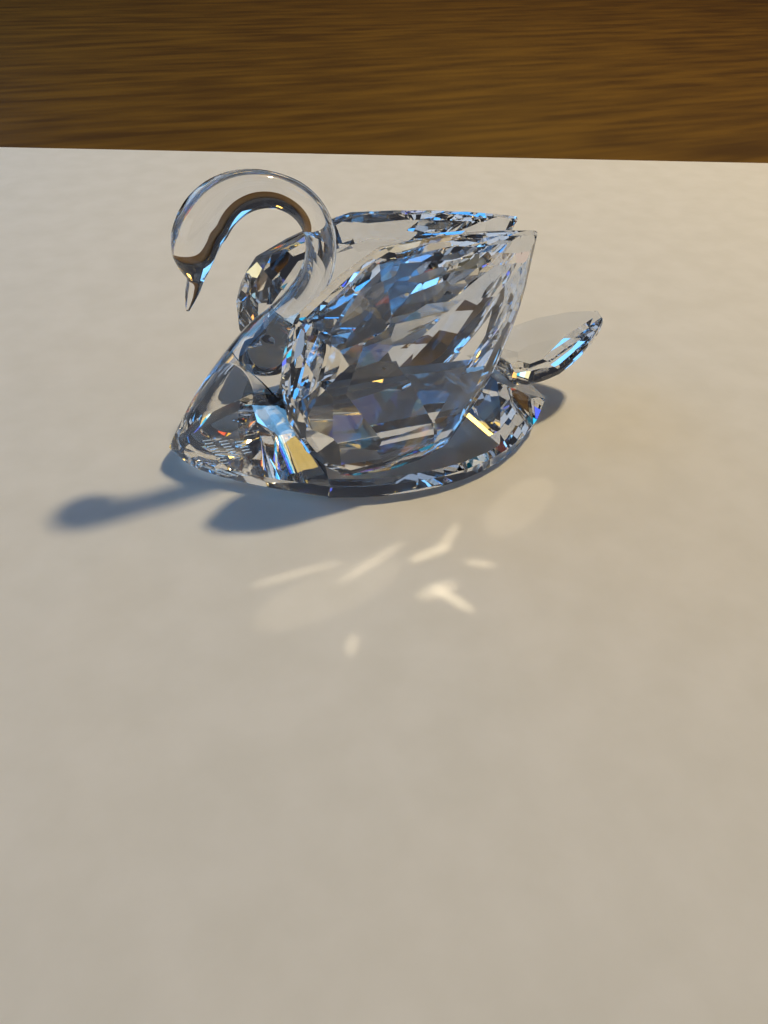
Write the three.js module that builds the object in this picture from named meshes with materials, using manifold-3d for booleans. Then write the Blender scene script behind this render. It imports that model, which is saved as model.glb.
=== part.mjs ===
// Cut crystal swan: a smooth neck piece, a faceted body, two faceted wings and a tail leaf.
// Millimetres, +Z up, the head toward -X, the swan's left side toward -Y.
import * as THREE from 'three';
import { mergeVertices } from 'three/addons/utils/BufferGeometryUtils.js';
import Module from 'manifold-3d';

const wasm = await Module();
wasm.setup();

// Hull: the almond outline at the rim, shared by the neck piece and the body.
const HULL_LENGTH = 78.6; // to where the two sides would meet
const HULL_BEAM = 48.6;
const BEAM_STATION = 43; // from the prow to the widest place
const HULL_BLUNT = 4; // ground off the stern
const RIM_HEIGHT = 3.2;
const RIM_UNDERCUT = 1.0; // how far the foot is set in under the rim
const GLUE_GAP = 0.3; // between two pieces that are glued together

// Breast: the front of the hull, drawn up into the neck.
const BREAST_BACK = 24; // from the prow to the flat back of the neck piece
const BREAST_BULGE = 1.5; // of the front profile, out of its straight line
const BREAST_HOLLOW = 2.1; // of the sides, in from their straight line
const BREAST_EDGE = 0.97; // share of the way back where the hull is widest
const BREAST_SHARP = 1.45; // exponent of the pointed front; 2 would be round
const THROAT_WIDEST = 0.6;
const THROAT_X = 17.4;
const THROAT_Z = 24.6;
const NAPE_Z = 22.6; // where the back of the neck leaves the flat back
const NAPE_SPREAD = 2.6; // how much wider than the neck it is there, to a side

// Neck: a loop about one centre, ending in the head.
const LOOP_X = 20.2;
const LOOP_Z = 37.3;
const LOOP_RADIUS = 7.1; // the open inside of the loop
const NECK_THICKNESS = 5.1;
const NECK_WIDTH = 5.1;
const LOOP_SWEEP = 158; // degrees, from the back of the loop to the cheek
const HEAD_SWELL = 3; // extra thickness at the back of the head
const HEAD_WIDTH = 7.4;
const BEAK_LENGTH = 5.4;
const BEAK_WIDTH = 2.8;

// Etched strokes under the breast.
const STROKE_DEPTH = 0.15;
const STROKE_WIDTH = 0.22;
const STROKE_HEIGHT = 1.5;
const STROKE_PITCH = 1.05;
const STROKE_ROW = 2.6; // from one row to the next
const STROKE_START = 9.5; // from the prow to the first row
const STROKE_COUNTS = [9, 7, 5];

// Body: the rest of the hull with a faceted crown.
const BODY_HEIGHT = 13;
const SEAT_HEIGHT = 4.2; // the flat shelf that a wing stands on
const SEAT_END = 38.5; // along the wing, where the shelf turns up
const SEAT_END_SLOPE = 38; // degrees
const STERN_SLOPE = 28; // degrees, the plain facet that carries the tail
const RIM_FACETS = 11; // to a side
const PROW_FACETS = 7; // to a side, on the rim of the neck piece
const BODY_TIERS = [ // facets to a side, their slope in degrees, and how far above the rim
  { count: RIM_FACETS, slope: 90, lift: 0 },
  { count: RIM_FACETS, slope: 45, lift: 0 },
  { count: 7, slope: 35, lift: 0.4 },
  { count: 7, slope: 24, lift: 2.6 },
];

// Wing: a pear cut stone set on edge, its point up and back.
const WING_X = 17.2; // origin of the stone's own drawing
const WING_Y = 15;
const WING_Z = 22.8;
const WING_TOE = 9; // degrees, the wings close toward the tail
const WING_LEAN = 14.5; // degrees, the wings close toward the top
const WING_ROUND = 19.6; // radius of the round end
const WING_ROUND_U = 20.3;
const WING_ROUND_V = -3.6;
const WING_TIP_U = 52.6;
const WING_TIP_V = 14.2;
const WING_CORNER_U = 21.5; // where the shoulder meets the top side
const WING_CORNER_V = 16.7;
const WING_SHOULDER_AT = 140; // degrees round the round end, where the shoulder starts
const WING_SHOULDER_SIDE = 60; // radius of the shoulder
const WING_TOP_SIDE = 160; // radius of the top side
const WING_REAR_SIDE = 57; // radius of the rear side
const WING_CROWN = 5.4; // outside, from the girdle to the table
const WING_PAVILION = 9.4; // inside, depth of the blank, which the seat in the body clears
const WING_GIRDLE = 0.8;
const WING_EDGES = 22; // flats round the girdle
// Tiers of facets: how many, the first one's place in its step, their slope in degrees, and
// how far off the girdle they start.
const WING_CROWN_TIERS = [
  { count: WING_EDGES, phase: 0.02, slope: 56, lift: 0 },
  { count: 11, phase: 0.52, slope: 38, lift: 0.5 },
  { count: 11, phase: 0.02, slope: 25, lift: 1.5 },
  { count: 7, phase: 0.5, slope: 13, lift: 2.7 },
];
const WING_PAVILION_TIERS = [
  { count: WING_EDGES, phase: 0.02, slope: 44, lift: 0 },
  { count: 9, phase: 0.52, slope: 34, lift: 0.6 },
  { count: 8, phase: 0.1, slope: 24, lift: 1.6 },
  { count: 5, phase: 0.6, slope: 18, lift: 3.2 },
];
const CHEEK_TURN = 20; // degrees, the small flat that clears the breast

// Tail: a leaf with a flat top and a keeled underside.
const TAIL_LENGTH = 27;
const TAIL_WIDTH = 19;
const TAIL_SIDE = 28; // radius of its sides
const TAIL_TILT = 20; // degrees
const TAIL_TOP = 1.6;
const TAIL_KEEL = 3.4;
const TAIL_BLUNT = 1.6; // ground off the point
const TAIL_REACH = 12.6; // from where the hull's sides would meet to the unblunted point
const TAIL_RISE = 12.4; // from the rim up to the point
const TAIL_GIRDLE = 0.8;
const TAIL_EDGES = 20;
const TAIL_TOP_TIERS = [{ count: 10, phase: 0.5, slope: 38, lift: 0 }];
const TAIL_KEEL_TIERS = [
  { count: TAIL_EDGES, phase: 0.02, slope: 48, lift: 0 },
  { count: 8, phase: 0.5, slope: 24, lift: 0 },
];

// Counts for the smooth piece.
const RING_POINTS = 32;
const BREAST_RINGS = 8;
const RISE_RINGS = 9;
const LOOP_RINGS = 18;

const BLOCK = 400; // larger than the swan, for grinding
const CRYSTAL = { color: 0xdfe8ee, roughness: 0.05, metalness: 0 };

const rad = THREE.MathUtils.degToRad;
const mix = THREE.MathUtils.lerp;

function toManifold(geometry) {
  const bare = geometry.clone();
  bare.deleteAttribute('normal');
  bare.deleteAttribute('uv');
  const merged = mergeVertices(bare, 1e-5);
  return new wasm.Manifold(new wasm.Mesh({
    numProp: 3,
    vertProperties: new Float32Array(merged.attributes.position.array),
    triVerts: new Uint32Array(merged.index.array),
  }));
}

function toGeometry(solid) {
  const mesh = solid.getMesh();
  const positions = new Float32Array(mesh.numVert * 3);
  for (let i = 0; i < mesh.numVert; i += 1) {
    for (let k = 0; k < 3; k += 1) {
      positions[3 * i + k] = mesh.vertProperties[mesh.numProp * i + k];
    }
  }
  const geometry = new THREE.BufferGeometry();
  geometry.setAttribute('position', new THREE.BufferAttribute(positions, 3));
  geometry.setIndex(new THREE.BufferAttribute(new Uint32Array(mesh.triVerts), 1));
  return geometry;
}

function box(sizeX, sizeY, sizeZ, matrix) {
  const geometry = new THREE.BoxGeometry(sizeX, sizeY, sizeZ);
  geometry.applyMatrix4(matrix);
  return toManifold(geometry);
}

function boxBetween(low, high) {
  const middle = low.map((v, k) => (v + high[k]) / 2);
  const matrix = new THREE.Matrix4().makeTranslation(...middle);
  return box(high[0] - low[0], high[1] - low[1], high[2] - low[2], matrix);
}

// Grinds off all that lies beyond the plane through a point with an outward normal.
function grind(solid, point, normal) {
  const outward = normal.clone().normalize();
  const turn = new THREE.Quaternion().setFromUnitVectors(new THREE.Vector3(0, 0, 1), outward);
  const centre = point.clone().addScaledVector(outward, BLOCK / 2);
  const matrix = new THREE.Matrix4().compose(centre, turn, new THREE.Vector3(1, 1, 1));
  return solid.subtract(box(BLOCK, BLOCK, BLOCK, matrix));
}

// Places along a chain of convex arcs at even steps, each with its outward direction.
function alongArcs(arcs, count, phase) {
  const lengths = arcs.map((arc) => arc.radius * (arc.to - arc.from));
  const total = lengths.reduce((sum, length) => sum + length, 0);
  const places = [];
  for (let i = 0; i < count; i += 1) {
    let left = (total * (i + phase)) / count;
    let k = 0;
    while (left > lengths[k] && k < arcs.length - 1) {
      left -= lengths[k];
      k += 1;
    }
    const arc = arcs[k];
    const angle = arc.from + left / arc.radius;
    const out = new THREE.Vector2(Math.cos(angle), Math.sin(angle));
    const at = new THREE.Vector2(arc.x, arc.y).addScaledVector(out, arc.radius);
    places.push({ at, out });
  }
  return places;
}

// One tier of facets: each leans from the girdle at its own place on the outline.
function grindTier(solid, places, slope, girdle, side) {
  let ground = solid;
  const flat = Math.sin(rad(slope));
  const rise = side * Math.cos(rad(slope));
  for (const { at, out } of places) {
    const normal = new THREE.Vector3(out.x * flat, out.y * flat, rise);
    ground = grind(ground, new THREE.Vector3(at.x, at.y, girdle), normal);
  }
  return ground;
}

// All tiers on one side of a stone's girdle: the outside (1) or the inside (-1).
function grindTiers(solid, arcs, tiers, halfGirdle, side) {
  return tiers.reduce((stone, { count, phase, slope, lift }) => {
    const places = alongArcs(arcs, count, phase);
    return grindTier(stone, places, slope, side * (halfGirdle + lift), side);
  }, solid);
}

// The arc from a tip that runs smoothly into a round end, on the left (1) or the right (-1).
function tangentSide(centre, radius, tip, sideRadius, sign) {
  const reach = tip.clone().sub(centre);
  const offset = sideRadius - radius;
  const squares = radius * radius + reach.lengthSq();
  const cosine = (2 * sideRadius * radius - squares) / (2 * reach.length() * offset);
  const turn = Math.atan2(reach.y, reach.x) + sign * Math.acos(cosine);
  const x = centre.x - offset * Math.cos(turn);
  const y = centre.y - offset * Math.sin(turn);
  const end = Math.atan2(tip.y - y, tip.x - x);
  return { x, y, radius: sideRadius, from: Math.min(turn, end), to: Math.max(turn, end) };
}

// The arc of a given radius from one place to the next, counterclockwise.
function chordArc(start, end, radius) {
  const chord = end.clone().sub(start);
  const depth = Math.sqrt(radius * radius - chord.lengthSq() / 4);
  const left = new THREE.Vector2(-chord.y, chord.x).normalize();
  const centre = start.clone().add(end).multiplyScalar(0.5).addScaledVector(left, depth);
  const from = Math.atan2(start.y - centre.y, start.x - centre.x);
  const to = Math.atan2(end.y - centre.y, end.x - centre.x);
  return { x: centre.x, y: centre.y, radius, from, to: to < from ? to + 2 * Math.PI : to };
}

// A pear outline: a round end about a centre and two equal sides that meet in a point.
function pearArcs(centre, radius, tip, sideRadius) {
  const left = tangentSide(centre, radius, tip, sideRadius, 1);
  const right = tangentSide(centre, radius, tip, sideRadius, -1);
  const end = { x: centre.x, y: centre.y, radius, from: left.to, to: right.from + 2 * Math.PI };
  return [left, end, right];
}

// The wing's outline: top side, shoulder, round end and rear side, from the tip round.
function wingArcs() {
  const centre = new THREE.Vector2(WING_ROUND_U, WING_ROUND_V);
  const radius = WING_ROUND;
  const tip = new THREE.Vector2(WING_TIP_U, WING_TIP_V);
  const corner = new THREE.Vector2(WING_CORNER_U, WING_CORNER_V);
  const turn = rad(WING_SHOULDER_AT);
  const shoulder = new THREE.Vector2(Math.cos(turn), Math.sin(turn))
    .multiplyScalar(radius)
    .add(centre);
  const rear = tangentSide(centre, radius, tip, WING_REAR_SIDE, -1);
  return [
    chordArc(tip, corner, WING_TOP_SIDE),
    chordArc(corner, shoulder, WING_SHOULDER_SIDE),
    { x: centre.x, y: centre.y, radius, from: turn, to: rear.from + 2 * Math.PI },
    rear,
  ];
}

// The hull's outline is two arcs to a side that meet at the beam.
function hullArc(length) {
  const half = HULL_BEAM / 2;
  const below = (length * length - half * half) / (2 * half);
  return { below, radius: below + half };
}

function hullHalfWidth(x, inset) {
  const length = x < BEAM_STATION ? BEAM_STATION : HULL_LENGTH - BEAM_STATION;
  const { below, radius } = hullArc(length);
  const along = x - BEAM_STATION;
  const reach = radius - inset;
  return Math.max(Math.sqrt(Math.max(reach * reach - along * along, 0)) - below, 0);
}

function hullPlaces(count, from, to) {
  const places = [];
  for (let i = 0; i < count; i += 1) {
    const x = mix(from, to, (i + 0.5) / count);
    const length = x < BEAM_STATION ? BEAM_STATION : HULL_LENGTH - BEAM_STATION;
    const { below } = hullArc(length);
    const y = hullHalfWidth(x, 0);
    const out = new THREE.Vector2(x - BEAM_STATION, y + below).normalize();
    places.push({ at: new THREE.Vector2(x, y), out });
    places.push({ at: new THREE.Vector2(x, -y), out: new THREE.Vector2(out.x, -out.y) });
  }
  return places;
}

// The rim's facets lean out as they rise from the foot.
function rimSlope() {
  return 90 + THREE.MathUtils.radToDeg(Math.atan(RIM_UNDERCUT / RIM_HEIGHT));
}

// A closed skin over rings of equal point counts, with a flat cap at each end.
function loft(rings) {
  const count = rings[0].length;
  const positions = rings.flat().flatMap((p) => [p.x, p.y, p.z]);
  const index = [];
  for (let r = 0; r + 1 < rings.length; r += 1) {
    for (let i = 0; i < count; i += 1) {
      const a = r * count + i;
      const b = r * count + ((i + 1) % count);
      index.push(a, b, b + count, a, b + count, a + count);
    }
  }
  const cap = (r, flip) => {
    const middle = new THREE.Vector3();
    rings[r].forEach((p) => middle.addScaledVector(p, 1 / count));
    const centre = positions.length / 3;
    positions.push(middle.x, middle.y, middle.z);
    for (let i = 0; i < count; i += 1) {
      const a = r * count + i;
      const b = r * count + ((i + 1) % count);
      index.push(centre, flip ? b : a, flip ? a : b);
    }
  };
  cap(0, true);
  cap(rings.length - 1, false);
  const geometry = new THREE.BufferGeometry();
  geometry.setAttribute('position', new THREE.Float32BufferAttribute(positions, 3));
  geometry.setIndex(index);
  return geometry;
}

// A ring through a front place and a back place in the swan's middle plane. "point" runs from
// 0, a round front, to 1, the pointed front of the hull; "widest" is where the ring is widest.
function ring({ front, back, halfWidth, point, widest }) {
  const points = [];
  const at = new THREE.Vector2().lerpVectors(front, back, widest);
  for (let i = 0; i < RING_POINTS; i += 1) {
    const angle = (2 * Math.PI * i) / RING_POINTS;
    const across = Math.abs(Math.sin(angle));
    const toFront = Math.cos(angle) > 0;
    const sharp = toFront ? point : 0;
    const bend = mix(2, BREAST_SHARP, sharp);
    const ahead = Math.max(1 - across ** bend, 0) ** (1 / mix(2, 1, sharp));
    const spot = at.clone().lerp(toFront ? front : back, ahead);
    points.push(new THREE.Vector3(spot.x, -Math.sin(angle) * halfWidth, spot.y));
  }
  return points;
}

// Breast rings are level; their front follows the profile from the prow to the throat.
function breastStations() {
  const chord = new THREE.Vector2(THROAT_X, THROAT_Z - RIM_HEIGHT);
  const outward = new THREE.Vector2(-chord.y, chord.x).normalize();
  const beyond = BREAST_BACK + 1; // ground back to the flat face afterwards
  const stations = [];
  const foot = new THREE.Vector2(RIM_UNDERCUT * 2, 0);
  stations.push({
    front: foot,
    back: new THREE.Vector2(beyond, 0),
    halfWidth: hullHalfWidth(BREAST_BACK, RIM_UNDERCUT),
    point: 1,
    widest: BREAST_EDGE,
  });
  const napeWidth = NECK_WIDTH / 2 + NAPE_SPREAD;
  for (let i = 0; i < BREAST_RINGS; i += 1) {
    const s = i / BREAST_RINGS;
    const swell = 4 * s * (1 - s);
    const front = chord.clone().multiplyScalar(s).addScaledVector(outward, BREAST_BULGE * swell);
    front.y += RIM_HEIGHT;
    const straight = mix(hullHalfWidth(BREAST_BACK, 0), napeWidth, s);
    stations.push({
      front,
      back: new THREE.Vector2(beyond, Math.min(front.y, NAPE_Z)),
      halfWidth: straight - BREAST_HOLLOW * swell,
      point: 1 - s * s,
      widest: mix(BREAST_EDGE, THROAT_WIDEST, s * s),
    });
  }
  return stations;
}

// The rise carries the neck from the throat to the start of the loop.
function riseStations() {
  const throat = new THREE.Vector2(THROAT_X, THROAT_Z);
  const nape = new THREE.Vector2(BREAST_BACK + 1.4, NAPE_Z + 0.6);
  const inner = new THREE.Vector2(LOOP_X + LOOP_RADIUS, LOOP_Z);
  const outer = new THREE.Vector2(inner.x + NECK_THICKNESS, LOOP_Z);
  const front = new THREE.CubicBezierCurve(
    throat,
    new THREE.Vector2(throat.x + 5.2, throat.y + 3.6),
    new THREE.Vector2(inner.x, inner.y - 5),
    inner,
  );
  const back = new THREE.CubicBezierCurve(
    nape,
    new THREE.Vector2(nape.x + 4.4, nape.y + 4.6),
    new THREE.Vector2(outer.x, outer.y - 6),
    outer,
  );
  const stations = [];
  for (let i = 0; i < RISE_RINGS; i += 1) {
    const s = i / RISE_RINGS;
    const settled = 1 - (1 - s) ** 3;
    stations.push({
      front: front.getPoint(s),
      back: back.getPoint(s),
      halfWidth: NECK_WIDTH / 2 + mix(NAPE_SPREAD, 0, settled),
      point: 0,
      widest: mix(THROAT_WIDEST, 0.5, settled),
    });
  }
  return stations;
}

// The loop turns about its centre; the outside swells into the back of the head.
function loopStations() {
  const stations = [];
  for (let i = 0; i <= LOOP_RINGS; i += 1) {
    const degrees = (LOOP_SWEEP * i) / LOOP_RINGS;
    const swell = THREE.MathUtils.smoothstep(degrees, 65, 155);
    const tuck = THREE.MathUtils.smoothstep(degrees, 146, 175);
    const angle = rad(degrees);
    const direction = new THREE.Vector2(Math.cos(angle), Math.sin(angle));
    const centre = new THREE.Vector2(LOOP_X, LOOP_Z);
    const thickness = NECK_THICKNESS + HEAD_SWELL * (swell - 0.3 * tuck);
    const inner = LOOP_RADIUS - 0.5 * swell + 1.1 * tuck;
    stations.push({
      front: centre.clone().addScaledVector(direction, inner),
      back: centre.clone().addScaledVector(direction, inner + thickness),
      halfWidth: mix(NECK_WIDTH, HEAD_WIDTH, swell) / 2,
      point: 0,
      widest: 0.5,
    });
  }
  return stations;
}

// From the cheek down over the brow to the end of the beak. Each row holds the chin side
// and the brow side, measured from the loop's centre, and the half width.
function faceStations() {
  const rows = [
    [-8.1, 0.1, -14.5, 1.8, 0.5 * HEAD_WIDTH * 0.92],
    [-8.8, -1.1, -14.1, -0.2, 0.5 * HEAD_WIDTH * 0.76],
    [-9.4, -2.2, -13.4, -1.7, 0.5 * HEAD_WIDTH * 0.56],
    [-10.0, -3.1, -12.8, -2.9, 0.5 * BEAK_WIDTH * 1.06],
  ];
  const stations = rows.map(([chinX, chinZ, browX, browZ, halfWidth]) => ({
    front: new THREE.Vector2(LOOP_X + chinX, LOOP_Z + chinZ),
    back: new THREE.Vector2(LOOP_X + browX, LOOP_Z + browZ),
    halfWidth,
    point: 0,
    widest: 0.5,
  }));
  const last = stations[stations.length - 1];
  const along = new THREE.Vector2(-0.34, -0.94).normalize();
  for (const [reach, keep] of [[0.35, 0.86], [0.7, 0.58], [1, 0.22]]) {
    const middle = new THREE.Vector2().lerpVectors(last.front, last.back, 0.55);
    const shift = along.clone().multiplyScalar(BEAK_LENGTH * reach);
    stations.push({
      front: middle.clone().lerp(last.front, keep).add(shift),
      back: middle.clone().lerp(last.back, keep).add(shift),
      halfWidth: (BEAK_WIDTH / 2) * mix(1, 0.3, reach),
      point: 0,
      widest: 0.5,
    });
  }
  return stations;
}

function neckBlank() {
  const stations = [
    ...breastStations(),
    ...riseStations(),
    ...loopStations(),
    ...faceStations(),
  ];
  return toManifold(loft(stations.map(ring)));
}

// Three short rows of upright strokes, cut a little way into the flat underside.
function etchedStrokes() {
  let strokes = null;
  STROKE_COUNTS.forEach((count, row) => {
    for (let i = 0; i < count; i += 1) {
      const x = STROKE_START + row * STROKE_ROW;
      const y = (count / 2 - i) * STROKE_PITCH;
      const low = [x, y, -STROKE_DEPTH];
      const high = [x + STROKE_HEIGHT, y + STROKE_WIDTH, STROKE_DEPTH];
      const stroke = boxBetween(low, high);
      strokes = strokes ? strokes.add(stroke) : stroke;
    }
  });
  return strokes;
}

function neckPiece() {
  const behind = boxBetween([BREAST_BACK, -BLOCK, -1], [BREAST_BACK + BLOCK, BLOCK, NAPE_Z]);
  const rimPlaces = hullPlaces(PROW_FACETS, 0, BREAST_BACK);
  const faceted = grindTier(neckBlank(), rimPlaces, rimSlope(), RIM_HEIGHT, 1);
  return faceted.subtract(behind).subtract(etchedStrokes());
}

// The wing stone lies in its own u, v plane with its outside toward +w.
function wingStone() {
  const arcs = wingArcs();
  const size = 3 * WING_TIP_U;
  let stone = boxBetween([-size, -size, -WING_PAVILION], [size, size, WING_CROWN]);
  stone = grindTier(stone, alongArcs(arcs, WING_EDGES, 0.5), 90, 0, 1);
  stone = grindTiers(stone, arcs, WING_CROWN_TIERS, WING_GIRDLE / 2, 1);
  stone = grindTiers(stone, arcs, WING_PAVILION_TIERS, WING_GIRDLE / 2, -1);
  return toGeometry(stone);
}

function wingMatrix() {
  const toe = rad(WING_TOE);
  const lean = rad(WING_LEAN);
  const flat = Math.cos(lean);
  const out = new THREE.Vector3(Math.sin(toe) * flat, -Math.cos(toe) * flat, Math.sin(lean));
  const along = new THREE.Vector3(Math.cos(toe), Math.sin(toe), 0);
  const up = new THREE.Vector3().crossVectors(out, along);
  const matrix = new THREE.Matrix4().makeBasis(along, up, out);
  return matrix.setPosition(WING_X, -WING_Y, WING_Z);
}

function wing() {
  const stone = wingStone();
  stone.applyMatrix4(wingMatrix());
  const foot = new THREE.Vector3(0, 0, SEAT_HEIGHT + GLUE_GAP);
  const footed = grind(toManifold(stone), foot, new THREE.Vector3(0, 0, -1));
  const cheek = cheekPlane();
  return grind(footed, cheek.point, cheek.normal);
}

// A plane just outside the rear edge of the breast, which leans in as it rises.
function cheekPlane() {
  const edge = breastStations()
    .slice(1, 4)
    .map(({ front, halfWidth }) => new THREE.Vector3(BREAST_BACK, -halfWidth, front.y));
  const rise = edge[2].clone().sub(edge[0]);
  const turn = rad(CHEEK_TURN);
  const level = new THREE.Vector3(Math.cos(turn), Math.sin(turn), 0);
  const normal = new THREE.Vector3().crossVectors(rise, level).normalize();
  return { point: edge[0].clone().addScaledVector(normal, -GLUE_GAP), normal };
}

// What is ground off the body beside a wing: outside the wing's flat back, above the shelf
// and ahead of a slope that clears the wing's rear side.
function seat() {
  const matrix = wingMatrix();
  const along = new THREE.Vector3();
  const up = new THREE.Vector3();
  const out = new THREE.Vector3();
  matrix.extractBasis(along, up, out);
  const back = new THREE.Vector3(0, 0, -WING_PAVILION - GLUE_GAP).applyMatrix4(matrix);
  const end = new THREE.Vector3(WING_X, -WING_Y, SEAT_HEIGHT).addScaledVector(along, SEAT_END);
  const slope = rad(SEAT_END_SLOPE);
  const ahead = along.clone().multiplyScalar(Math.sin(slope));
  ahead.z = -Math.cos(slope);
  const low = [-BLOCK / 4, -BLOCK / 4, SEAT_HEIGHT];
  const high = [BLOCK / 4, 0, BLOCK / 4];
  const room = grind(boxBetween(low, high), back, out.negate());
  return grind(room, end, ahead);
}

function mirrored(solid) {
  const geometry = toGeometry(solid);
  geometry.applyMatrix4(new THREE.Matrix4().makeScale(1, -1, 1));
  const index = geometry.index.array;
  for (let i = 0; i < index.length; i += 3) {
    [index[i + 1], index[i + 2]] = [index[i + 2], index[i + 1]];
  }
  return toManifold(geometry);
}

function sternPlane(lift) {
  const angle = rad(STERN_SLOPE);
  const normal = new THREE.Vector3(Math.sin(angle), 0, Math.cos(angle));
  const point = new THREE.Vector3(HULL_LENGTH - HULL_BLUNT, 0, RIM_HEIGHT);
  return { point: point.addScaledVector(normal, lift), normal };
}

function body() {
  const front = BREAST_BACK + GLUE_GAP;
  const rear = HULL_LENGTH - HULL_BLUNT;
  let stone = boxBetween([front, -HULL_BEAM, 0], [rear, HULL_BEAM, BODY_HEIGHT]);
  const rimPlaces = hullPlaces(RIM_FACETS, front, HULL_LENGTH);
  stone = grindTier(stone, rimPlaces, rimSlope(), RIM_HEIGHT, 1);
  for (const { count, slope, lift } of BODY_TIERS) {
    stone = grindTier(stone, hullPlaces(count, front, HULL_LENGTH), slope, RIM_HEIGHT + lift, 1);
  }
  const stern = sternPlane(0);
  stone = grind(stone, stern.point, stern.normal);
  const leftSeat = seat();
  return stone.subtract(leftSeat).subtract(mirrored(leftSeat));
}

function tail() {
  const centre = new THREE.Vector2(TAIL_WIDTH / 2 - TAIL_LENGTH, 0);
  const tip = new THREE.Vector2(0, 0);
  const arcs = pearArcs(centre, TAIL_WIDTH / 2, tip, TAIL_SIDE);
  let stone = boxBetween([-BLOCK / 2, -BLOCK / 2, -TAIL_KEEL], [BLOCK / 2, BLOCK / 2, TAIL_TOP]);
  stone = grindTier(stone, alongArcs(arcs, TAIL_EDGES, 0.5), 90, 0, 1);
  stone = grindTiers(stone, arcs, TAIL_TOP_TIERS, TAIL_GIRDLE / 2, 1);
  stone = grindTiers(stone, arcs, TAIL_KEEL_TIERS, TAIL_GIRDLE / 2, -1);
  const blunt = new THREE.Vector3(-TAIL_BLUNT, 0, 0);
  stone = grind(stone, blunt, new THREE.Vector3(1, 0, 0));
  const geometry = toGeometry(stone);
  geometry.applyMatrix4(new THREE.Matrix4().makeRotationY(-rad(TAIL_TILT)));
  const tipX = HULL_LENGTH + TAIL_REACH;
  const tipZ = RIM_HEIGHT + TAIL_RISE;
  geometry.applyMatrix4(new THREE.Matrix4().makeTranslation(tipX, 0, tipZ));
  const stern = sternPlane(GLUE_GAP);
  return grind(toManifold(geometry), stern.point, stern.normal.clone().negate());
}

const leftWing = wing();
const pieces = {
  neck: neckPiece(),
  body: body(),
  wing_left: leftWing,
  wing_right: mirrored(leftWing),
  tail: tail(),
};

const swan = new THREE.Group();
swan.name = 'crystal_swan';
for (const [name, solid] of Object.entries(pieces)) {
  const mesh = new THREE.Mesh(toGeometry(solid), new THREE.MeshStandardMaterial(CRYSTAL));
  mesh.name = name;
  swan.add(mesh);
}

// The origin is under the middle of the whole swan, on the table.
const bounds = new THREE.Box3().setFromObject(swan);
const middle = bounds.getCenter(new THREE.Vector3());
swan.children.forEach((mesh) => mesh.geometry.translate(-middle.x, -middle.y, -bounds.min.z));

export default swan;
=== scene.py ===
import math

import bmesh
import bpy
import numpy as np
from mathutils import Matrix, Vector


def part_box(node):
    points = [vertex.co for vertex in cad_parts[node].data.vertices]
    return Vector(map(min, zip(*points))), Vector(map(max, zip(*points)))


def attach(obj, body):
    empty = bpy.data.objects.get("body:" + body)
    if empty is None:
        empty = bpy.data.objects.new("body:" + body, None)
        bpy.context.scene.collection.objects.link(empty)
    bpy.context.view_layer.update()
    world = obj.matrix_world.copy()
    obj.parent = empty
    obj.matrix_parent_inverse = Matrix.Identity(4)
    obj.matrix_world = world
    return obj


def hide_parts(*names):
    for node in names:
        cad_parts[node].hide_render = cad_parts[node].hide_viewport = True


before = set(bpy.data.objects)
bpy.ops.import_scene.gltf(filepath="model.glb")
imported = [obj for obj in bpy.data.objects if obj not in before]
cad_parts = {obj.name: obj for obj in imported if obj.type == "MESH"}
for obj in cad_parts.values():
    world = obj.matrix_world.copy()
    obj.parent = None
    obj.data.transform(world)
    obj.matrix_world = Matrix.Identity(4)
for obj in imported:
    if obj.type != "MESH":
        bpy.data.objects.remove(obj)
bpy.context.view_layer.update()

# The swan's sizes are in millimetres from its prow, as it was drawn. The places of the camera, the
# stage and the lights are in millimetres from its origin. All angles are in degrees.
MM = 0.001
GLUE_GAP = 0.3
GLUE_OVERLAP = 0.1  # how far a glued face reaches into its neighbour, so that no air shows there
BREAST_BACK = 24.0
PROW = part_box("body")[0].x / MM - BREAST_BACK - GLUE_GAP  # the prow, from the swan's origin

# Hull outline
HULL_BEAM = 48.6
BEAM_STATION = 43.0
RIM_HEIGHT = 3.2
RIM_UNDERCUT = 1.0
PROW_FACETS = 7

# Breast and nape; "widest" says where a ring is widest, from 0 at its front to 1 at its back
BREAST_BULGE = 1.5
BREAST_HOLLOW = 2.1
BREAST_WIDEST = 0.97
THROAT_X = 17.4
THROAT_Z = 24.6
THROAT_WIDEST = 0.6
THROAT_HANDLE = (5.2, 3.6)  # how far its curve runs on before it bends
NAPE_Z = 22.6
NAPE_SPREAD = 2.6
NAPE_OVERHANG = 1.4
NAPE_LIP = 0.6
NAPE_HANDLE = (4.4, 4.6)

# Neck loop and head
LOOP_X = 20.2
LOOP_Z = 37.3
LOOP_RADIUS = 7.1
LOOP_SWEEP = 158.0
LOOP_INNER_HANDLE = 5.0
LOOP_OUTER_HANDLE = 6.0
NECK_THICKNESS = 5.1
NECK_WIDTH = 5.1
NECK_WIDEST = 0.5
HEAD_WIDTH = 7.4
HEAD_SWELL = 3.0
HEAD_SWELL_FROM = 65.0
HEAD_SWELL_TO = 155.0
CHIN_SWELL = 0.5
CHIN_TUCK = 1.1
BROW_TUCK = 0.3  # a share of the head's swell
TUCK_FROM = 146.0
TUCK_TO = 175.0

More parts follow.
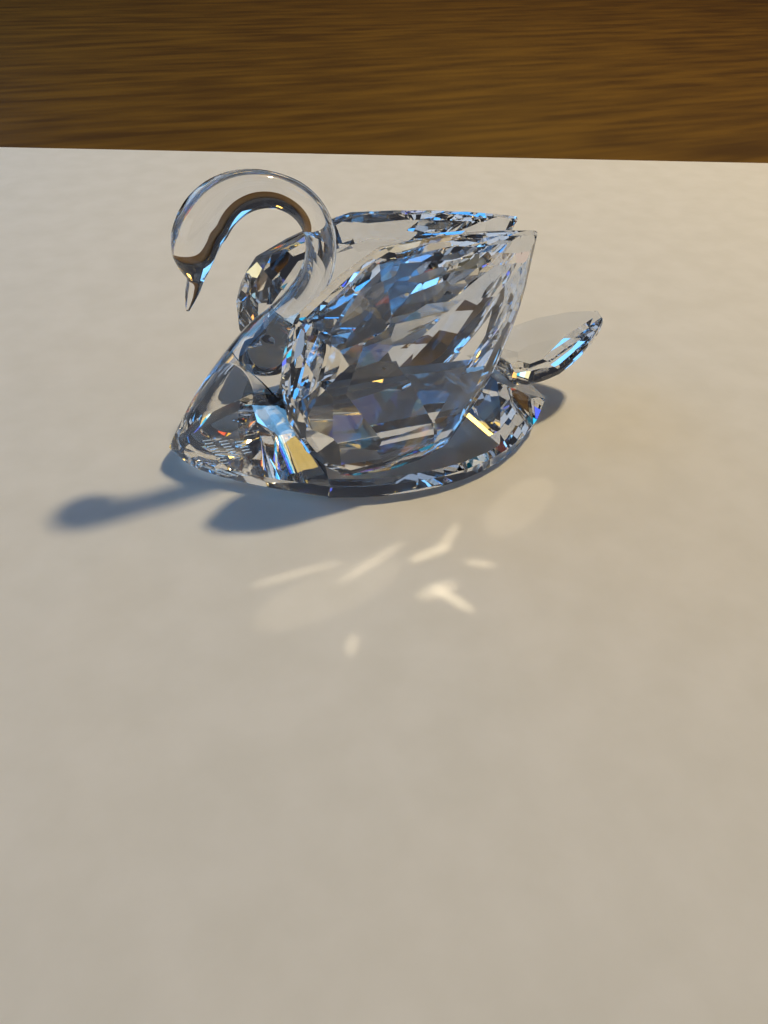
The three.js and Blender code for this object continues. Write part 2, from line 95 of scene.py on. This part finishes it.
# Face and beak
BEAK_LENGTH = 5.4
BEAK_WIDTH = 2.8
BEAK_WAY = (-0.34, -0.94)
BEAK_MIDDLE = 0.55  # where the beak starts, from 0 at the chin to 1 at the brow
BEAK_TIP_WIDTH = 0.3  # a share of the beak's width
BEAK_TAPER = ((0.35, 0.86), (0.7, 0.58), (1.0, 0.22))  # shares of its length, and of its height there
FACE_ROWS = (  # chin and brow from the middle of the loop, and the width between the cheeks
    ((-8.1, 0.1), (-14.5, 1.8), HEAD_WIDTH * 0.92),
    ((-8.8, -1.1), (-14.1, -0.2), HEAD_WIDTH * 0.76),
    ((-9.4, -2.2), (-13.4, -1.7), HEAD_WIDTH * 0.56),
    ((-10.0, -3.1), (-12.8, -2.9), BEAK_WIDTH * 1.06),
)

# Tail
STERN_SLOPE = 28.0

# Fineness of the smooth piece
RING_POINTS = 112
BREAST_RINGS = 40
RISE_RINGS = 32
LOOP_RINGS = 80
FACE_STEPS = 6
OVAL_POWER = 2
PROW_POWER = 1.45  # lower than an oval's, which makes the front of a ring pointed
SHARP_ANGLE = 28.0
CUTTER_REACH = 60.0
CUTTER_MARGIN = 1.0

# Etched strokes under the breast
STROKE_ROWS = (9, 7, 5)
STROKE_X = 9.5
STROKE_WIDTH = 0.22
STROKE_HEIGHT = 1.5
STROKE_PITCH = 1.05
STROKE_ROW = 2.6
STROKE_DEPTH = 0.15

# Tolerances: lengths in metres, and how nearly two unit normals agree
CUT_TOLERANCE = 1e-8
WELD_DISTANCE = 1e-7
FACET_ANGLE = 0.2
SAME_FACING = 0.99999
GLUED_FACING = 0.999

# Crystal
SMOOTH_COLOUR = (0.985, 0.99, 1.0)
SMOOTH_IOR = 1.55
SMOOTH_WAVE = 0.004
SMOOTH_WAVE_SIZE = 3.0
CUT_COLOUR = (0.935, 0.96, 1.0)
CUT_IOR = 1.56
CUT_WAVE = 0.001
CUT_WAVE_SIZE = 2.5

# Camera of the photograph
CAMERA_PLACE = (-53.5, -119.0, 87.7)
CAMERA_YAW = 23.5
CAMERA_PITCH = 41.0
CAMERA_ROLL = 2.5
CAMERA_NEAREST = 5.0
FOCAL_PIXELS = 769.0
PHOTO_HEIGHT = 1024.0
PHOTO_WIDTH = 768.0
SENSOR = 36.0

# Paper, table and card
FLOOR_GAP = 0.05  # the film of air under a thing that stands on a sheet of paper
PAPER_FAR_LEFT = (-69.4, 207.5)
PAPER_FAR_RIGHT = (201.4, 113.0)
PAPER_SIDEWAYS = 900.0
PAPER_NEARER = 1500.0
PAPER_COLOURS = ((0.78, 0.755, 0.685), (0.82, 0.795, 0.73))
PAPER_GRAIN = (9, 9, 9)
TABLE_DROP = 0.5
TABLE_REACH = 4000.0
TABLE_CORNERS = ((-1, -1), (1, -1), (1, 1), (-1, 1))
WOOD_COLOURS = ((0.085, 0.040, 0.006), (0.17, 0.085, 0.010))
WOOD_GRAIN = (60, 9, 60)
MOTTLE_FROM = 0.35
MOTTLE_TO = 0.65
CARD_X = -620.0
CARD_FROM_Y = -420.0
CARD_TO_Y = 520.0
CARD_HEIGHT = 330.0
CARD_COLOUR = (0.6, 0.6, 0.6)
CARD_POWER = 0.45

# Light; an azimuth is counted from +X towards +Y
LAMP = (1.0, 0.83, 0.56)
LAMP_GLOW = (1.0, 0.66, 0.16)
AMBER = (1.0, 0.58, 0.10)
DEEP_BLUE = (0.07, 0.40, 1.0)
BLUE = (0.22, 0.58, 1.0)
PALE_BLUE = (0.62, 0.78, 1.0)
ROOM = (0.026, 0.026, 0.030)
KEY_AZIMUTH = 20.0
KEY_ELEVATION = 58.0
LAMP_DISTANCE = 900.0
AIM_HEIGHT = 20.0
LAMPS = (  # name, azimuth, elevation, distance, width, height, colour, power
    ("key", KEY_AZIMUTH, KEY_ELEVATION, LAMP_DISTANCE, 60, 60, LAMP, 4.9),
    ("glow", KEY_AZIMUTH, KEY_ELEVATION, LAMP_DISTANCE + 30, 300, 300, LAMP_GLOW, 0.36),
    ("amber", 60, 25, LAMP_DISTANCE, 150, 70, AMBER, 0.22),
)
WINDOWS = (  # the same
    ("window", 150, 38, 700, 500, 340, DEEP_BLUE, 0.85),
    ("low_window", 121, 25, 700, 420, 240, BLUE, 0.55),
    ("fill", -75, 50, 800, 500, 300, PALE_BLUE, 0.2),
)

# Soft coloured lights, for the coloured flashes in the stones
FIRE_COLOURS = (
    (1.0, 0.12, 0.02),
    (1.0, 0.55, 0.04),
    (1.0, 0.85, 0.45),
    (0.02, 0.65, 1.0),
    (0.10, 0.16, 1.0),
)
FIRE_SIZE = (60, 260)
FIRE_POWER = 0.06
FIRE_STEP = 5
FIRE_AZIMUTH = KEY_AZIMUTH + 15
FIRE_ELEVATION = KEY_ELEVATION - 6
LOW_FIRE_AZIMUTH = KEY_AZIMUTH - 40
LOW_FIRE_ELEVATION = 30

# Painted light: a glowing emission patch in the paper's material under the breast, in place of the light
# that comes through the crystal
PAINTED_LIGHT_PLACE = (-31.0, 0.0, 0.0)
PAINTED_LIGHT_REACH = (13.0, 11.0, 10.0)
PAINTED_LIGHT_COLOUR = (0.55, 0.78, 1.0)
PAINTED_LIGHT_POWER = 0.9
GLINT_COLOUR = (1.0, 0.84, 0.60)
GLINT_SPREAD = 14.0
GLINT_HEIGHT = 12.0
GLINTS = (  # across and down in the photograph, length, width, turn, power
    (298, 573, 15, 1.0, 2, 0.000013),
    (372, 562, 14, 1.2, 22, 0.000014),
    (449, 537, 8, 1.0, 42, 0.000009),
    (430, 553, 8, 1.4, 8, 0.000014),
    (438, 590, 7, 2.6, 8, 0.000014),
    (452, 598, 8, 1.4, -62, 0.000016),
    (352, 645, 4, 0.8, 60, 0.000004),
    (480, 563, 5, 0.9, -30, 0.000006),
    (330, 592, 26, 9, 12, 0.000040),
    (520, 505, 20, 8, 30, 0.000030),
)

# How many times a ray of light may bounce
MOST_BOUNCES = 40
TRANSMISSION_BOUNCES = 36
GLOSSY_BOUNCES = 12
DIFFUSE_BOUNCES = 3


def mix(a, b, t):
    return a + (b - a) * t


def smoothstep(value, low, high):
    t = min(max((value - low) / (high - low), 0.0), 1.0)
    return t * t * (3 - 2 * t)


def bezier(points, t):
    a, b, c, d = (np.array(p) for p in points)
    s = 1 - t
    return s**3 * a + 3 * s * s * t * b + 3 * s * t * t * c + t**3 * d


# Smooth neck piece

def hull_arc():
    """How far the middle of the near side's arc lies beyond the keel line, and the arc's radius."""
    half = HULL_BEAM / 2
    below = (BEAM_STATION**2 - half * half) / (2 * half)
    return below, below + half


def hull_half_width(x, inset):
    below, radius = hull_arc()
    reach = radius - inset
    return math.sqrt(max(reach * reach - (x - BEAM_STATION) ** 2, 0)) - below


def station(front, back, half_width, point, widest):
    """What one ring of the loft needs; point is 1 for a front as sharp as the prow, 0 for a round one."""
    return np.array([*front, *back, half_width, point, widest], float)


def breast_stations():
    chord = np.array([THROAT_X, THROAT_Z - RIM_HEIGHT])
    outward = np.array([-chord[1], chord[0]]) / np.linalg.norm(chord)
    beyond = BREAST_BACK + CUTTER_MARGIN
    foot_width = hull_half_width(BREAST_BACK, RIM_UNDERCUT)
    stations = [station((RIM_UNDERCUT * 2, 0), (beyond, 0), foot_width, 1, BREAST_WIDEST)]
    for i in range(BREAST_RINGS):
        s = i / BREAST_RINGS
        swell = 4 * s * (1 - s)
        front = chord * s + outward * BREAST_BULGE * swell + np.array([0, RIM_HEIGHT])
        straight = mix(hull_half_width(BREAST_BACK, 0), NECK_WIDTH / 2 + NAPE_SPREAD, s)
        half_width = straight - BREAST_HOLLOW * swell
        back = (beyond, min(front[1], NAPE_Z))
        widest = mix(BREAST_WIDEST, THROAT_WIDEST, s * s)
        stations.append(station(front, back, half_width, 1 - s * s, widest))
    return stations


def rise_stations():
    throat = np.array([THROAT_X, THROAT_Z])
    nape = np.array([BREAST_BACK + NAPE_OVERHANG, NAPE_Z + NAPE_LIP])
    inner = np.array([LOOP_X + LOOP_RADIUS, LOOP_Z])
    outer = inner + (NECK_THICKNESS, 0)
    front = (throat, throat + THROAT_HANDLE, inner - (0, LOOP_INNER_HANDLE), inner)
    back = (nape, nape + NAPE_HANDLE, outer - (0, LOOP_OUTER_HANDLE), outer)
    stations = []
    for i in range(RISE_RINGS):
        s = i / RISE_RINGS
        settled = 1 - (1 - s) ** 3
        half_width = mix(NECK_WIDTH / 2 + NAPE_SPREAD, NECK_WIDTH / 2, settled)
        widest = mix(THROAT_WIDEST, NECK_WIDEST, settled)
        stations.append(station(bezier(front, s), bezier(back, s), half_width, 0, widest))
    return stations


def loop_stations():
    stations = []
    centre = np.array([LOOP_X, LOOP_Z])
    for i in range(LOOP_RINGS + 1):
        degrees = LOOP_SWEEP * i / LOOP_RINGS
        swell = smoothstep(degrees, HEAD_SWELL_FROM, HEAD_SWELL_TO)
        tuck = smoothstep(degrees, TUCK_FROM, TUCK_TO)
        direction = np.array([math.cos(math.radians(degrees)), math.sin(math.radians(degrees))])
        inner = LOOP_RADIUS - CHIN_SWELL * swell + CHIN_TUCK * tuck
        thickness = NECK_THICKNESS + HEAD_SWELL * (swell - BROW_TUCK * tuck)
        front = centre + direction * inner
        back = centre + direction * (inner + thickness)
        half_width = mix(NECK_WIDTH, HEAD_WIDTH, swell) / 2
        stations.append(station(front, back, half_width, 0, NECK_WIDEST))
    return stations


def face_stations(before):
    """Rings of face and beak, on a smooth curve that goes on from the loop's last rings."""
    centre = np.array([LOOP_X, LOOP_Z])
    keys = [before[-1 - 2 * FACE_STEPS], before[-1]]
    for chin, brow, width in FACE_ROWS:
        keys.append(station(centre + chin, centre + brow, width / 2, 0, NECK_WIDEST))
    last = keys[-1]
    middle = mix(last[0:2], last[2:4], BEAK_MIDDLE)
    for reach, keep in BEAK_TAPER:
        shift = np.array(BEAK_WAY) * BEAK_LENGTH * reach
        front = mix(middle, last[0:2], keep) + shift
        back = mix(middle, last[2:4], keep) + shift
        half_width = BEAK_WIDTH / 2 * mix(1, BEAK_TIP_WIDTH, reach)
        keys.append(station(front, back, half_width, 0, NECK_WIDEST))
    keys.append(keys[-1])
    stations = []
    for a, b, c, d in zip(keys, keys[1:], keys[2:], keys[3:]):
        for step in range(1, FACE_STEPS + 1):
            t = step / FACE_STEPS
            curve = 2 * b + (c - a) * t + (2 * a - 5 * b + 4 * c - d) * t**2
            stations.append(0.5 * (curve + (3 * b - a - 3 * c + d) * t**3))
    return stations


def ring(values):
    """The points of one ring: an oval, or a pointed one where its front is sharp."""
    front, back = values[0:2], values[2:4]
    half_width, point, widest = values[4:7]
    at = mix(front, back, widest)
    places = []
    for i in range(RING_POINTS):
        angle = 2 * math.pi * i / RING_POINTS
        across = abs(math.sin(angle))
        to_front = math.cos(angle) > 0
        sharp = point if to_front else 0
        remaining = max(1 - across ** mix(OVAL_POWER, PROW_POWER, sharp), 0)
        ahead = remaining ** (1 / mix(OVAL_POWER, 1, sharp))
        spot = mix(at, front if to_front else back, ahead)
        places.append((spot[0], -math.sin(angle) * half_width, spot[1]))
    return places


def row_place(place):
    """A place in millimetres from the prow, as metres from the swan's origin."""
    return Vector((place[0] + PROW, place[1], place[2])) * MM


def lofted(rings):
    mesh = bmesh.new()
    skins = [[mesh.verts.new(row_place(p)) for p in places] for places in rings]
    for low, high in zip(skins, skins[1:]):
        for i in range(RING_POINTS):
            j = (i + 1) % RING_POINTS
            mesh.faces.new((low[i], low[j], high[j], high[i]))
    mesh.faces.new(list(reversed(skins[0])))
    mesh.faces.new(skins[-1])
    bmesh.ops.recalc_face_normals(mesh, faces=mesh.faces)
    return mesh


def grind(mesh, place, normal):
    """Cuts off what lies beyond a plane and closes the cut with one flat face."""
    geometry = mesh.verts[:] + mesh.edges[:] + mesh.faces[:]
    cut = bmesh.ops.bisect_plane(
        mesh, geom=geometry, dist=CUT_TOLERANCE, plane_co=place, plane_no=normal, clear_outer=True
    )
    edges = [e for e in cut["geom_cut"] if isinstance(e, bmesh.types.BMEdge) and e.is_boundary]
    if edges:
        bmesh.ops.contextual_create(mesh, geom=edges)


def rim_planes():
    """Places and normals of the facets round the neck piece's part of the rim."""
    slope = math.radians(90) + math.atan(RIM_UNDERCUT / RIM_HEIGHT)
    below, _ = hull_arc()
    planes = []
    for i in range(PROW_FACETS):
        x = BREAST_BACK * (i + 0.5) / PROW_FACETS
        y = hull_half_width(x, 0)
        out = Vector((x - BEAM_STATION, y + below)).normalized()
        for side in (1, -1):
            normal = Vector((out.x * math.sin(slope), side * out.y * math.sin(slope), math.cos(slope)))
            planes.append((row_place((x, side * y, RIM_HEIGHT)), normal))
    return planes


def box_into(mesh, low, high):
    low, high = row_place(low), row_place(high)
    matrix = Matrix.Translation((low + high) / 2) @ Matrix.Diagonal((*(high - low), 1))
    bmesh.ops.create_cube(mesh, size=1, matrix=matrix)


def neck_cutter():
    """What is cut from the neck blank: all behind its flat back, and the etched strokes."""
    mesh = bmesh.new()
    low = (BREAST_BACK, -CUTTER_REACH, -CUTTER_MARGIN)
    box_into(mesh, low, (BREAST_BACK + CUTTER_REACH, CUTTER_REACH, NAPE_Z))
    for row, count in enumerate(STROKE_ROWS):
        for i in range(count):
            x = STROKE_X + row * STROKE_ROW
            y = -(i - count / 2) * STROKE_PITCH
            box_into(mesh, (x, y, -STROKE_DEPTH), (x + STROKE_HEIGHT, y + STROKE_WIDTH, STROKE_DEPTH))
    return mesh


def object_from(mesh, name):
    data = bpy.data.meshes.new(name)
    mesh.to_mesh(data)
    mesh.free()
    thing = bpy.data.objects.new(name, data)
    bpy.context.scene.collection.objects.link(thing)
    return thing


def apply_modifiers(thing):
    depsgraph = bpy.context.evaluated_depsgraph_get()
    done = bpy.data.meshes.new_from_object(thing.evaluated_get(depsgraph))
    thing.modifiers.clear()
    thing.data = done


def shade(thing, flat_normals):
    """Smooth shading, with the ground faces flat and the steep edges sharp."""
    for polygon in thing.data.polygons:
        flat = any(polygon.normal.dot(n) > SAME_FACING for n in flat_normals)
        polygon.use_smooth = not flat
    thing.data.set_sharp_from_angle(angle=math.radians(SHARP_ANGLE))


def neck_piece(material):
    before = breast_stations() + rise_stations() + loop_stations()
    mesh = lofted([ring(s) for s in before + face_stations(before)])
    planes = rim_planes()
    for place, normal in planes:
        grind(mesh, place, normal)
    neck = object_from(mesh, "swan_neck")
    cutter = object_from(neck_cutter(), "neck_cutter")
    cut = neck.modifiers.new("cut", "BOOLEAN")
    cut.object = cutter
    cut.operation = "DIFFERENCE"
    cut.solver = "EXACT"
    apply_modifiers(neck)
    bpy.data.objects.remove(cutter)
    shade(neck, [normal for _, normal in planes] + [Vector((1, 0, 0)), Vector((0, 0, -1))])
    neck.data.materials.clear()
    neck.data.materials.append(material)
    neck.cycles.is_caustics_caster = True
    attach(neck, "root")
    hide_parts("neck")


# Cut stones

def cut_stone(node, name, material, glued):
    """A cut stone in whole facets; its glued face, found by its normal, reaches its neighbour."""
    mesh = bmesh.new()
    mesh.from_mesh(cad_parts[node].data)
    bmesh.ops.remove_doubles(mesh, verts=mesh.verts, dist=WELD_DISTANCE)
    bmesh.ops.dissolve_limit(
        mesh, angle_limit=math.radians(FACET_ANGLE), verts=mesh.verts, edges=mesh.edges
    )
    face = max(mesh.faces, key=lambda f: (f.normal.dot(glued) > GLUED_FACING) * f.calc_area())
    grown = bmesh.ops.extrude_face_region(mesh, geom=[face])
    moved = [v for v in grown["geom"] if isinstance(v, bmesh.types.BMVert)]
    bmesh.ops.delete(mesh, geom=[face], context="FACES_ONLY")
    reach = (GLUE_GAP + GLUE_OVERLAP) * MM
    bmesh.ops.translate(mesh, verts=moved, vec=glued * reach)
    bmesh.ops.recalc_face_normals(mesh, faces=mesh.faces)
    stone = object_from(mesh, name)
    stone.data.materials.clear()
    stone.data.materials.append(material)
    for polygon in stone.data.polygons:
        polygon.use_smooth = False
    stone.cycles.is_caustics_caster = True
    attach(stone, "root")
    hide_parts(node)


def cut_stones(material):
    stern = math.radians(STERN_SLOPE)
    down = Vector((0, 0, -1))
    cut_stone("body", "swan_body", material, Vector((-1, 0, 0)))
    cut_stone("wing_left", "swan_wing_left", material, down)
    cut_stone("wing_right", "swan_wing_right", material, down)
    cut_stone("tail", "swan_tail", material, Vector((-math.sin(stern), 0, -math.cos(stern))))


# Materials

def crystal(name, colour, ior, wave, wave_size):
    """Clear crystal: plain values for what makes it see-through, and a faint polishing wave."""
    material = bpy.data.materials.new(name)
    material.use_nodes = True
    nodes, links = material.node_tree.nodes, material.node_tree.links
    glass = nodes["Principled BSDF"]
    glass.inputs["Base Color"].default_value = (*colour, 1)
    glass.inputs["Roughness"].default_value = 0.0
    glass.inputs["IOR"].default_value = ior
    glass.inputs["Transmission Weight"].default_value = 1.0
    place = nodes.new("ShaderNodeTexCoord")
    noise = nodes.new("ShaderNodeTexNoise")
    noise.inputs["Scale"].default_value = 1 / (wave_size * MM)
    noise.inputs["Detail"].default_value = 1.0
    bump = nodes.new("ShaderNodeBump")
    bump.inputs["Strength"].default_value = 1.0
    bump.inputs["Distance"].default_value = wave * MM
    links.new(place.outputs["Object"], noise.inputs["Vector"])
    links.new(noise.outputs["Fac"], bump.inputs["Height"])
    links.new(bump.outputs["Normal"], glass.inputs["Normal"])
    return material


def mottled(name, colours, grain, detail, roughness):
    """A matt material whose colour wanders between two; grain gives the sizes of its patches."""
    low, high = colours
    material = bpy.data.materials.new(name)
    material.use_nodes = True
    nodes, links = material.node_tree.nodes, material.node_tree.links
    surface = nodes["Principled BSDF"]
    surface.inputs["Roughness"].default_value = roughness
    surface.inputs["Specular IOR Level"].default_value = 0.2
    place = nodes.new("ShaderNodeTexCoord")
    stretch = nodes.new("ShaderNodeMapping")
    stretch.inputs["Scale"].default_value = [1 / (size * MM) for size in grain]
    noise = nodes.new("ShaderNodeTexNoise")
    noise.inputs["Scale"].default_value = 1.0
    noise.inputs["Detail"].default_value = detail
    ramp = nodes.new("ShaderNodeValToRGB")
    ramp.color_ramp.elements[0].position = MOTTLE_FROM
    ramp.color_ramp.elements[0].color = (*low, 1)
    ramp.color_ramp.elements[1].position = MOTTLE_TO
    ramp.color_ramp.elements[1].color = (*high, 1)
    links.new(place.outputs["Object"], stretch.inputs["Vector"])
    links.new(stretch.outputs["Vector"], noise.inputs["Vector"])
    links.new(noise.outputs["Fac"], ramp.inputs["Fac"])
    links.new(ramp.outputs["Color"], surface.inputs["Base Color"])
    return material


def add_painted_light(material):
    """Painted light: an emission patch in the paper under the breast, fading outwards, in place of the
    light that the crystal gathers there; seen only through the crystal.
    """
    nodes, links = material.node_tree.nodes, material.node_tree.links
    surface = nodes["Principled BSDF"]
    place = nodes.new("ShaderNodeTexCoord")
    centred = nodes.new("ShaderNodeMapping")
    centred.inputs["Location"].default_value = [-c / r for c, r in zip(PAINTED_LIGHT_PLACE, PAINTED_LIGHT_REACH)]
    centred.inputs["Scale"].default_value = [1 / (r * MM) for r in PAINTED_LIGHT_REACH]
    fade = nodes.new("ShaderNodeTexGradient")
    fade.gradient_type = "SPHERICAL"
    power = nodes.new("ShaderNodeMath")
    power.operation = "MULTIPLY"
    power.inputs[1].default_value = PAINTED_LIGHT_POWER
    surface.inputs["Emission Color"].default_value = (*PAINTED_LIGHT_COLOUR, 1)
    links.new(place.outputs["Object"], centred.inputs["Vector"])
    links.new(centred.outputs["Vector"], fade.inputs["Vector"])
    links.new(fade.outputs["Fac"], power.inputs[0])
    links.new(power.outputs["Value"], surface.inputs["Emission Strength"])


def pale_card():
    """The bright side of the room, which shows only in the crystal."""
    material = bpy.data.materials.new("pale_card")
    material.use_nodes = True
    surface = material.node_tree.nodes["Principled BSDF"]
    surface.inputs["Base Color"].default_value = (*CARD_COLOUR, 1)
    surface.inputs["Roughness"].default_value = 0.9
    surface.inputs["Emission Color"].default_value = (*PALE_BLUE, 1)
    surface.inputs["Emission Strength"].default_value = CARD_POWER
    return material


# Stage, camera and light

def sheet(name, corners, material):
    mesh = bmesh.new()
    mesh.faces.new([mesh.verts.new(Vector(corner) * MM) for corner in corners])
    thing = object_from(mesh, name)
    thing.data.materials.append(material)
    return thing


def make_stage():
    far_left = Vector((*PAPER_FAR_LEFT, -FLOOR_GAP))
    far_right = Vector((*PAPER_FAR_RIGHT, -FLOOR_GAP))
    along = (far_right - far_left).normalized()
    near = Vector((along.y, -along.x, 0)) * PAPER_NEARER
    left = far_left - along * PAPER_SIDEWAYS
    right = far_right + along * PAPER_SIDEWAYS
    paper = mottled("pale_floor", PAPER_COLOURS, PAPER_GRAIN, detail=6, roughness=0.9)
    # the paper gets a painted pool of light, an emission patch, under the breast
    add_painted_light(paper)
    floor = sheet("pale_floor", [left, left + near, right + near, right], paper)
    floor.cycles.is_caustics_receiver = True
    wood = mottled("dark_backdrop", WOOD_COLOURS, WOOD_GRAIN, detail=3, roughness=0.45)
    table = [(x * TABLE_REACH, y * TABLE_REACH, -TABLE_DROP) for x, y in TABLE_CORNERS]
    sheet("dark_backdrop", table, wood)
    foot = [(CARD_X, CARD_FROM_Y, 0), (CARD_X, CARD_TO_Y, 0)]
    top = [(CARD_X, CARD_TO_Y, CARD_HEIGHT), (CARD_X, CARD_FROM_Y, CARD_HEIGHT)]
    sheet("pale_card", foot + top, pale_card())


def make_camera():
    yaw, pitch, roll = (math.radians(v) for v in (CAMERA_YAW, CAMERA_PITCH, CAMERA_ROLL))
    level = Vector((math.sin(yaw), math.cos(yaw), 0))
    ahead = level * math.cos(pitch) + Vector((0, 0, -math.sin(pitch)))
    right = Vector((math.cos(yaw), -math.sin(yaw), 0))
    up = right.cross(ahead)
    rolled_right = right * math.cos(roll) + up * math.sin(roll)
    rolled_up = up * math.cos(roll) - right * math.sin(roll)
    turn = Matrix((rolled_right, rolled_up, -ahead)).transposed().to_4x4()
    data = bpy.data.cameras.new("camera")
    data.sensor_width = SENSOR
    data.lens = SENSOR * FOCAL_PIXELS / PHOTO_HEIGHT
    data.clip_start = CAMERA_NEAREST * MM
    camera = bpy.data.objects.new("camera", data)
    camera.matrix_world = Matrix.Translation(Vector(CAMERA_PLACE) * MM) @ turn
    bpy.context.scene.collection.objects.link(camera)
    bpy.context.scene.camera = camera


def softbox(name, azimuth, elevation, distance, width, height, colour, power):
    """A rectangular light that faces the swan."""
    a, e = math.radians(azimuth), math.radians(elevation)
    toward = Vector((math.cos(a) * math.cos(e), math.sin(a) * math.cos(e), math.sin(e)))
    data = bpy.data.lights.new(name, "AREA")
    data.shape = "RECTANGLE"
    data.size = width * MM
    data.size_y = height * MM
    data.color = colour
    data.energy = power
    light = bpy.data.objects.new(name, data)
    light.location = toward * distance * MM + Vector((0, 0, AIM_HEIGHT * MM))
    light.rotation_mode = "QUATERNION"
    light.rotation_quaternion = toward.to_track_quat("Z", "Y")
    bpy.context.scene.collection.objects.link(light)
    return light


def photo_floor_place(across, down):
    """Where a place of the photograph, in its pixels, lies on the floor."""
    camera = bpy.context.scene.camera.matrix_world
    ray = camera.to_3x3() @ Vector((across - PHOTO_WIDTH / 2, PHOTO_HEIGHT / 2 - down, -FOCAL_PIXELS))
    start = camera.translation
    return start - ray * (start.z / ray.z)


def floor_glint(across, down, length, width, turn, power):
    """A narrow beam that lays one streak of refracted light on the floor."""
    data = bpy.data.lights.new("glint", "AREA")
    data.shape = "ELLIPSE"
    data.size = length * MM
    data.size_y = width * MM
    data.spread = math.radians(GLINT_SPREAD)
    data.color = GLINT_COLOUR
    data.energy = power
    light = bpy.data.objects.new("glint", data)
    light.location = photo_floor_place(across, down) + Vector((0, 0, GLINT_HEIGHT * MM))
    light.rotation_euler = (0, 0, math.radians(turn))
    for seen_by in ("visible_camera", "visible_glossy", "visible_transmission"):
        setattr(light, seen_by, False)
    bpy.context.scene.collection.objects.link(light)


def make_room():
    world = bpy.data.worlds.new("world")
    world.use_nodes = True
    sky = world.node_tree.nodes["Background"]
    sky.inputs["Color"].default_value = (*ROOM, 1)
    sky.inputs["Strength"].default_value = 1.0
    bpy.context.scene.world = world


def make_light():
    key, *_ = [softbox(*lamp) for lamp in LAMPS]
    key.data.cycles.is_caustics_light = True
    for i, colour in enumerate(FIRE_COLOURS):
        look = (LAMP_DISTANCE, *FIRE_SIZE, colour, FIRE_POWER)
        softbox(f"fire_{i}", FIRE_AZIMUTH + FIRE_STEP * i, FIRE_ELEVATION, *look)
        softbox(f"low_fire_{i}", LOW_FIRE_AZIMUTH - FIRE_STEP * i, LOW_FIRE_ELEVATION, *look)
    for window in WINDOWS:
        softbox(*window)
    for glint in GLINTS:
        floor_glint(*glint)


def render_settings():
    scene = bpy.context.scene
    scene.cycles.max_bounces = MOST_BOUNCES
    scene.cycles.transmission_bounces = TRANSMISSION_BOUNCES
    scene.cycles.glossy_bounces = GLOSSY_BOUNCES
    scene.cycles.diffuse_bounces = DIFFUSE_BOUNCES
    scene.view_settings.view_transform = "Standard"


# The whole picture

make_camera()
make_stage()
make_room()
make_light()
render_settings()
neck_piece(crystal("smooth_crystal", SMOOTH_COLOUR, SMOOTH_IOR, SMOOTH_WAVE, SMOOTH_WAVE_SIZE))
cut_stones(crystal("cut_crystal", CUT_COLOUR, CUT_IOR, CUT_WAVE, CUT_WAVE_SIZE))
